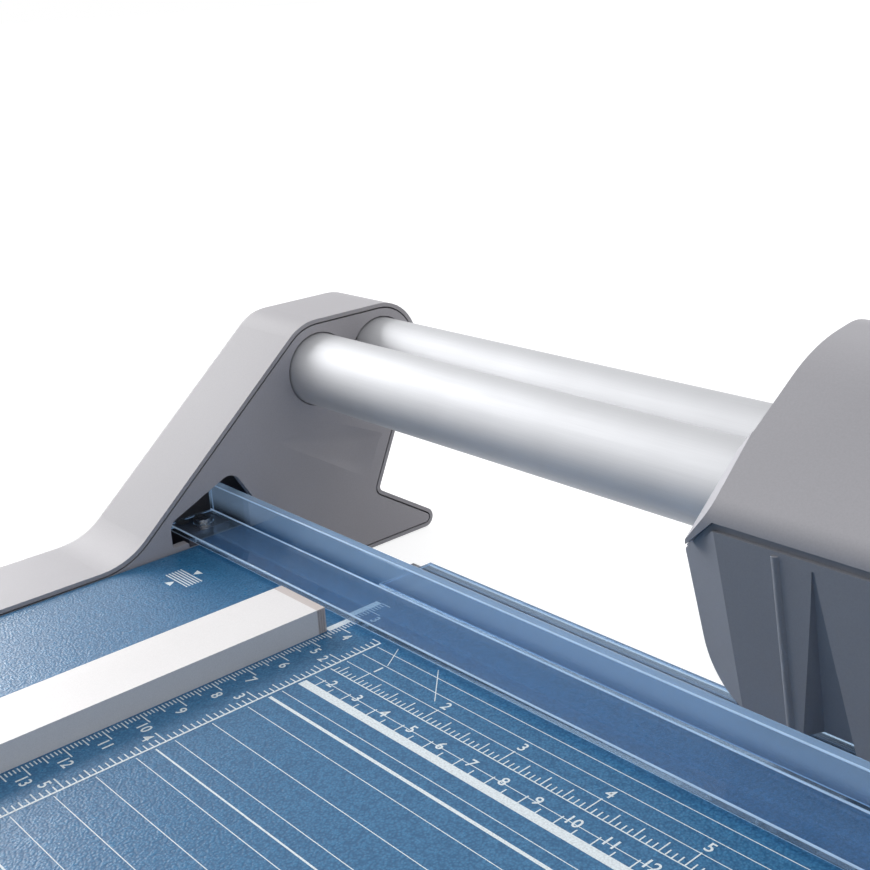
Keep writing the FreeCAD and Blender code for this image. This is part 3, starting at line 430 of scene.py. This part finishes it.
def copyNode(node, flatAngle):
    # a CAD node's triangles, joined up, with faces that lie flat within this angle made one
    mesh = bmesh.new()
    mesh.from_mesh(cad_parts[node].data)
    bmesh.ops.remove_doubles(mesh, verts=mesh.verts, dist=0.001 * mm)
    bmesh.ops.dissolve_limit(mesh, angle_limit=math.radians(flatAngle), verts=mesh.verts,
                             edges=mesh.edges)
    return mesh


def newPiece(mesh, name, *materials):
    # the finished mesh as an object of the scene
    data = bpy.data.meshes.new(name)
    mesh.to_mesh(data)
    mesh.free()
    for material in materials:
        data.materials.append(material)
    piece = bpy.data.objects.new(name, data)
    bpy.context.scene.collection.objects.link(piece)
    return piece


# Prints on the table, in millimetres: across from the scales' start, and behind the cut line

printSettings = {
    "start": 0.8,             # the scales count from so far beside the stop
    "thick": 0.03,
    "lineThick": 0.02,        # where two prints cross, one is thinner, so no faces coincide
    "slantThick": 0.025,
    "tick": 0.32,
    "line": 0.22,
    "digit": 3.0,             # height of the numbers
    "fontScale": 1.38,        # the font's size for that height
    "swell": 0.05,            # how much the ink spreads round a number
    "curveSteps": 3,
    "sixteenth": 25.4 / 16,
}

depthSettings = {
    "first": 25,              # millimetres from the cut
    "last": 290,
    "ticks": (4.9, 3.3, 1.8),           # at centimetres, at their halves and between
    "numberAt": (5.9, -2.3),            # from the tick's place, as in the other scales
    "block": (-2.4, -0.2, -43.0),       # left, right and front of the bar at its start
}

inchSettings = {
    "across": 14.85,
    "first": 24,              # sixteenths
    "last": 182,
    "ticks": (4.85, 3.0, 2.1),          # at inches, at their quarters and between
    "numberAt": (10.6, -2.6),
    "rule": 0.55,
}

widthSettings = {
    "left": 16.25,
    "right": 352.0,
    "inchAt": -55.0,
    "inchFirst": 11,          # sixteenths
    "inchTicks": (5.3, 3.6, 1.9),
    "inchNumberAt": (0.2, 7.5),
    "inchRule": 0.3,
    "cmAt": -64.0,
    "cmFirst": 4,             # half centimetres
    "cmHalf": 5.0,
    "cmTicks": (4.5, 3.0),              # at centimetres and at their halves
    "cmNumberAt": (2.6, 4.4),
    "cmBar": 1.25,            # half the width of the thick bar under the centimetres
}

guideSettings = {
    "lines": (-40, -45, -50, -60, -70, -80, -90, -100, -110, -120, -130, -140, -150),
    "heavyLines": ((-73.7, 0.9), (-105.0, 0.45), (-148.5, 0.45), (-210.0, 0.45)),
    "slants": ((21.0, -37.0, 25.75, -44.5), (36.75, -37.25, 47.25, -47.75)),
}

signSettings = {
    "left": -65.5,
    "right": -53.5,
    "first": -49.5,
    "last": -54.5,
    "sheets": 6,
    "sheetHalf": 0.2,
    "arrowOff": 0.7,
    "arrowWide": 3.2,
    "arrowTall": 2.4,
}


def addBar(mesh, left, right, front, back, thick=printSettings["thick"]):
    # a printed bar, given by its edges
    addBlock(mesh, ((left + right) / 2, (front + back) / 2, thick / 2),
             (right - left, back - front, thick))


def addSlant(mesh, x0, y0, x1, y1, wide):
    thick = printSettings["slantThick"]
    addBlock(mesh, ((x0 + x1) / 2, (y0 + y1) / 2, thick / 2),
             (math.hypot(x1 - x0, y1 - y0), wide, thick), math.atan2(y1 - y0, x1 - x0))


def addArrow(mesh, x, y, wide, tall):
    # a solid triangle whose point is at x, y; a negative height turns it over
    outline = [(x, y, 0), (x - wide / 2, y - tall, 0), (x + wide / 2, y - tall, 0)]
    addPrism(mesh, outline, Vector((0, 0, printSettings["thick"])))


def addNumber(mesh, number, x, y, offset):
    # a plain number, upright as seen from the front, this far from the tick at x, y
    s = printSettings
    curve = bpy.data.curves.new("number", "FONT")
    curve.body = str(number)
    curve.align_x = "CENTER"
    curve.align_y = "CENTER"
    curve.size = s["digit"] * s["fontScale"]
    curve.extrude = s["thick"] / 2
    curve.resolution_u = s["curveSteps"]
    curve.offset = s["swell"]
    holder = bpy.data.objects.new("number", curve)
    bpy.context.scene.collection.objects.link(holder)
    shape = bpy.data.meshes.new_from_object(
        holder.evaluated_get(bpy.context.evaluated_depsgraph_get()))
    shape.transform(Matrix.Translation((x + offset[0], y + offset[1], s["thick"] / 2)))
    mesh.from_mesh(shape)
    bpy.data.objects.remove(holder)
    bpy.data.curves.remove(curve)
    bpy.data.meshes.remove(shape)


def tickReach(count, whole, part, ticks):
    # ticks are longest at whole units, shorter at their halves or quarters, shortest between
    return ticks[0] if count % whole == 0 else ticks[1] if count % part == 0 else ticks[2]


def finishPrint(mesh, name):
    # from millimetres on the table to the print's place
    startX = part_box("stop_bar")[1].x + printSettings["start"] * mm
    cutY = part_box("lower_knife")[1].y
    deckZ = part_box("table_plate")[1].z
    for v in mesh.verts:
        v.co = Vector((startX + v.co.x * mm, cutY + v.co.y * mm, deckZ + v.co.z * mm))
    piece = newPiece(mesh, name, finishes["whiteInk"])
    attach(piece, "base")


def makeDepthScale():
    # millimetres beside the stop, counted from the cut
    s = depthSettings
    half = printSettings["tick"] / 2
    mesh = bmesh.new()
    for depth in range(s["first"], s["last"] + 1):
        addBar(mesh, 0, tickReach(depth, 10, 5, s["ticks"]), -depth - half, -depth + half)
        if depth % 10 == 0 and depth < s["last"]:
            addNumber(mesh, depth // 10, 0, -depth, s["numberAt"])
    left, right, front = s["block"]
    addBar(mesh, left, right, front, -s["first"])
    finishPrint(mesh, "depth_scale_print")


def makeInchScale():
    # inches beside it, also counted from the cut
    s = inchSettings
    half = printSettings["tick"] / 2
    step = printSettings["sixteenth"]
    edge = s["across"]
    mesh = bmesh.new()
    for count in range(s["first"], s["last"] + 1):
        depth = count * step
        addBar(mesh, edge - tickReach(count, 16, 4, s["ticks"]), edge, -depth - half,
               -depth + half)
        if count % 16 == 0:
            addNumber(mesh, count // 16, 0, -depth, s["numberAt"])
    addBar(mesh, edge, edge + s["rule"], -s["last"] * step, -s["first"] * step)
    finishPrint(mesh, "inch_scale_print")


def makeWidthScales():
    # scales along the cut, counted from the stop: inches above, centimetres below
    s = widthSettings
    half = printSettings["tick"] / 2
    step = printSettings["sixteenth"]
    mesh = bmesh.new()
    for count in range(s["inchFirst"], int(s["right"] / step) + 1):
        across = count * step
        addBar(mesh, across - half, across + half, s["inchAt"],
               s["inchAt"] + tickReach(count, 16, 4, s["inchTicks"]))
        if count % 16 == 0:
            addNumber(mesh, count // 16, across, s["inchAt"], s["inchNumberAt"])
    addBar(mesh, s["left"], s["right"], s["inchAt"] - s["inchRule"], s["inchAt"])
    for count in range(s["cmFirst"], int(s["right"] / s["cmHalf"]) + 1):
        across = count * s["cmHalf"]
        addBar(mesh, across - half, across + half, s["cmAt"] + s["cmBar"],
               s["cmAt"] + s["cmTicks"][count % 2])
        if count % 2 == 0:
            addNumber(mesh, count // 2, across, s["cmAt"], s["cmNumberAt"])
    addBar(mesh, s["left"], s["right"], s["cmAt"] - s["cmBar"], s["cmAt"] + s["cmBar"])
    finishPrint(mesh, "width_scale_print")


def makeGuideLines():
    # thin lines that paper is squared up to
    s = guideSettings
    left, right = widthSettings["left"], widthSettings["right"]
    thin = printSettings["line"]
    mesh = bmesh.new()
    for at, wide in (*((at, thin) for at in s["lines"]), *s["heavyLines"]):
        addBar(mesh, left, right, at - wide / 2, at + wide / 2, printSettings["lineThick"])
    for slant in s["slants"]:
        addSlant(mesh, *slant, thin)
    finishPrint(mesh, "guide_line_print")


def makeStackSign():
    # the sign for the height of a stack of paper: sheets between two arrowheads
    s = signSettings
    mesh = bmesh.new()
    middle = (s["left"] + s["right"]) / 2
    for count in range(s["sheets"]):
        at = s["first"] + (s["last"] - s["first"]) * count / (s["sheets"] - 1)
        addBar(mesh, s["left"], s["right"], at - s["sheetHalf"], at + s["sheetHalf"])
    addArrow(mesh, middle, s["first"] + s["arrowOff"], s["arrowWide"], -s["arrowTall"])
    addArrow(mesh, middle, s["last"] - s["arrowOff"], s["arrowWide"], s["arrowTall"])
    finishPrint(mesh, "stack_sign_print")


makeDepthScale()
makeInchScale()
makeWidthScales()
makeGuideLines()
makeStackSign()
print("prints made")


# The see-through clamp, with its edges broken and given a painted highlight

clampSettings = {
    "flatAngle": 1,          # degrees
    "sharpAngle": 60,        # edges that are this sharp and this long are rounded
    "longEdge": 8 * mm,
    "edge": 0.36 * mm,       # rounded corners, wide enough to show as lines, and given a painted highlight
    "segments": 3,
}


def makeClearClamp():
    s = clampSettings
    mesh = copyNode("clamp_strip", s["flatAngle"])
    corners = [e for e in mesh.edges if e.is_manifold and e.calc_length() > s["longEdge"]
               and e.calc_face_angle(0) > math.radians(s["sharpAngle"])]
    rounded = bmesh.ops.bevel(mesh, geom=corners, offset=s["edge"], offset_type="OFFSET",
                              affect="EDGES", segments=s["segments"], profile=0.5, material=-1)
    # the rounded corners get the material with the painted highlight
    for face in rounded["faces"]:
        face.material_index = 1
    piece = newPiece(mesh, "clear_clamp", finishes["clearBlue"], finishes["paintedHighlightEdge"])
    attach(piece, "clamp")
    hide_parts("clamp_strip")


makeClearClamp()
print("clamp made")


# The end plates, with the moulded hollow's edges rounded

hollowSettings = {
    "flatAngle": 0.1,        # degrees, as the two below
    "leastTilt": 0.4,        # the hollow's faces lean between these two: the plate's flat
    "mostTilt": 32.0,        # faces lean less, and its sides more
    "cuts": 11,
    "passes": 26,
    "softening": 0.5,
}


def isLeaning(face):
    s = hollowSettings
    tilt = math.degrees(math.acos(min(1.0, abs(face.normal.x))))
    return s["leastTilt"] < tilt < s["mostTilt"]


def makeSoftPlate(node, name):
    s = hollowSettings
    mesh = copyNode(node, s["flatAngle"])
    bmesh.ops.triangulate(mesh, faces=[f for f in mesh.faces if isLeaning(f)])
    creased = [e for e in mesh.edges if any(isLeaning(f) for f in e.link_faces)]
    bmesh.ops.subdivide_edges(mesh, edges=creased, cuts=s["cuts"], use_grid_fill=True)
    for face in mesh.faces:
        face.smooth = isLeaning(face)
    # the vertices inside the hollow even out, and those on its rim stay
    free = [v for v in mesh.verts if v.link_faces and all(f.smooth for f in v.link_faces)]
    for count in range(s["passes"]):
        bmesh.ops.smooth_vert(mesh, verts=free, factor=s["softening"], use_axis_x=True,
                              use_axis_y=True, use_axis_z=True)
    piece = newPiece(mesh, name, finishes["plateGrey"])
    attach(piece, "base")
    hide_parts(node)


makeSoftPlate("left_end_plate", "left_soft_plate")
makeSoftPlate("right_end_plate", "right_soft_plate")
print("plates made")


# Fine grip ribs on the side of the stop's cap

ribSettings = {
    "count": 3,
    "wide": 0.28 * mm,
    "proud": 0.18 * mm,
    "tall": 0.92,            # of the cap's height
    "before": 0.75,          # room before the first rib, in steps from rib to rib
    "after": 0.75,           # and behind the last
}


def makeCapRibs():
    s = ribSettings
    low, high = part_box("stop_bar_cap")
    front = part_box("stop_bar")[1].y
    steps = s["before"] + s["count"] - 1 + s["after"]
    mesh = bmesh.new()
    for count in range(s["count"]):
        y = front + (high.y - front) * (s["before"] + count) / steps
        addBlock(mesh, (high.x, y, (low.z + high.z) / 2),
                 (2 * s["proud"], s["wide"], (high.z - low.z) * s["tall"]))
    piece = newPiece(mesh, "cap_ribs", finishes["capWhite"])
    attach(piece, "base")


makeCapRibs()
print("ribs made")


# The skirt's tongues, which stand up into the sloping ends of the seam under the cover

tongueSettings = {
    "flatAngle": 1,          # degrees
    "leastLean": 0.5,        # a sloping end faces up and sideways, each by this much or more
    "leastArea": 50 * mm * mm,
    "inset": 0.35 * mm,
    "rise": 0.45 * mm,
}


def makeSkirtTongue():
    s = tongueSettings
    mesh = copyNode("head_skirt", s["flatAngle"])
    slopes = [f for f in mesh.faces if f.normal.z > s["leastLean"]
              and abs(f.normal.x) > s["leastLean"] and f.calc_area() > s["leastArea"]]
    bmesh.ops.delete(mesh, geom=[f for f in mesh.faces if f not in slopes], context="FACES")
    frames = bmesh.ops.inset_individual(mesh, faces=mesh.faces[:], thickness=s["inset"])
    bmesh.ops.delete(mesh, geom=frames["faces"], context="FACES")
    tongues = [([v.co.copy() for v in f.verts], f.normal * s["rise"]) for f in mesh.faces]
    mesh.clear()
    for outline, rise in tongues:
        addPrism(mesh, outline, rise)
    piece = newPiece(mesh, "skirt_tongue", finishes["skirtGrey"])
    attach(piece, "head")


makeSkirtTongue()
print("tongue made")


# Floor, light and camera

stageSettings = {
    "floorSize": 60.0,
    "floorColour": "9C9C9E",
    "floorGlow": 0.82,        # what the camera sees of the floor before any light falls on it
    "floorRoughness": 0.9,
    "floorShine": 0.1,
    "skyHigh": 0.98,
    "skyLow": 0.0,
    "skyFrom": (-0.35, 0.6, 0.72),      # the room is brightest up there, and dark opposite
    "skyDarkAt": -0.35,       # cosines of the angle from there at which it is darkest
    "skyLightAt": 0.78,       # and brightest
    "key": {"at": (-3.6, -0.1, 1.3), "size": (2.4, 2.4), "power": 138.0},
    "fill": {"at": (3.0, 0.7, 0.4), "size": (2.0, 1.2), "power": 7.0},
}

cameraSettings = {
    "lens": 53.70,
    "sensor": 36.0,
    "nearest": 0.01,
    "furthest": 50.0,
    "at": (75.78, -100.95, 184.22),     # millimetres in the part's frame
    "azimuth": 49.62,                   # degrees, as the two below
    "elevation": 18.914,
    "roll": -3.505,
}

white = linear("FFFFFF")


def backgroundRays(tree):
    # one for rays that look at the background: the camera's, and those in metal and in glass
    rays = addNode(tree, "LightPath")
    mirrored = addNode(tree, "Math", {"operation": "MAXIMUM"}, {
        0: rays.outputs["Is Glossy Ray"], 1: rays.outputs["Is Transmission Ray"]})
    seen = addNode(tree, "Math", {"operation": "MAXIMUM"}, {
        0: rays.outputs["Is Camera Ray"], 1: mirrored.outputs[0]})
    return seen.outputs[0]


def makeFloor():
    s = stageSettings
    material, tree, shader = newMaterial("white_floor")
    setInputs(tree, shader, {
        "Base Color": linear(s["floorColour"]), "Roughness": s["floorRoughness"],
        "Specular IOR Level": s["floorShine"]})
    # seen directly the floor is white, but it keeps the shadow of what stands on it
    glow = addNode(tree, "Emission", inputs={"Color": white, "Strength": s["floorGlow"]})
    both = addNode(tree, "AddShader", inputs={0: shader.outputs[0], 1: glow.outputs[0]})
    chosen = addNode(tree, "MixShader", inputs={
        0: backgroundRays(tree), 1: shader.outputs[0], 2: both.outputs[0]})
    output = [n for n in tree.nodes if n.bl_idname == "ShaderNodeOutputMaterial"][0]
    setInputs(tree, output, {"Surface": chosen.outputs[0]})
    mesh = bmesh.new()
    bmesh.ops.create_grid(mesh, x_segments=1, y_segments=1, size=s["floorSize"] / 2)
    floor = newPiece(mesh, "floor", material)


def makeWorld():
    s = stageSettings
    world = bpy.data.worlds.new("studio")
    world.use_nodes = True
    bpy.context.scene.world = world
    tree = world.node_tree
    tree.nodes.clear()
    towards = addNode(tree, "VectorMath", {"operation": "DOT_PRODUCT"}, {
        0: addNode(tree, "TexCoord").outputs["Generated"], 1: Vector(s["skyFrom"]).normalized()})
    level = addNode(tree, "MapRange", {"interpolation_type": "SMOOTHSTEP"}, {
        "Value": towards.outputs["Value"], "From Min": s["skyDarkAt"],
        "From Max": s["skyLightAt"], "To Min": s["skyLow"], "To Max": s["skyHigh"]})
    room = addNode(tree, "Background", inputs={"Color": white, "Strength": level.outputs[0]})
    backdrop = addNode(tree, "Background", inputs={"Color": white, "Strength": 1.0})
    mix = addNode(tree, "MixShader", inputs={
        0: backgroundRays(tree), 1: room.outputs[0], 2: backdrop.outputs[0]})
    addNode(tree, "OutputWorld", inputs={"Surface": mix.outputs[0]})


def makeSoftbox(name, at, size, power):
    light = bpy.data.lights.new(name, "AREA")
    light.shape = "RECTANGLE"
    light.size, light.size_y = size
    light.energy = power
    lamp = bpy.data.objects.new(name, light)
    lamp.location = at
    lamp.rotation_mode = "QUATERNION"
    lamp.rotation_quaternion = (-Vector(at)).to_track_quat("-Z", "Y")
    bpy.context.scene.collection.objects.link(lamp)


def makeCamera():
    s = cameraSettings
    turn, lift, roll = (math.radians(s[k]) for k in ("azimuth", "elevation", "roll"))
    look = Vector((-math.sin(turn) * math.cos(lift), math.cos(turn) * math.cos(lift),
                   -math.sin(lift)))
    right = Vector((math.cos(turn), math.sin(turn), 0))
    up = right.cross(look)
    acrossAxis = right * math.cos(roll) + up * math.sin(roll)
    upAxis = up * math.cos(roll) - right * math.sin(roll)
    data = bpy.data.cameras.new("camera")
    data.lens = s["lens"]
    data.sensor_width = s["sensor"]
    data.clip_start = s["nearest"]
    data.clip_end = s["furthest"]
    camera = bpy.data.objects.new("camera", data)
    camera.matrix_world = Matrix.Translation(Vector(s["at"]) * mm) @ Matrix(
        (acrossAxis, upAxis, -look)).transposed().to_4x4()
    bpy.context.scene.collection.objects.link(camera)
    bpy.context.scene.camera = camera


makeFloor()
makeWorld()
makeSoftbox("key_softbox", **stageSettings["key"])
makeSoftbox("fill_softbox", **stageSettings["fill"])
makeCamera()
bpy.context.scene.view_settings.view_transform = "Standard"
print("floor, light and camera made")
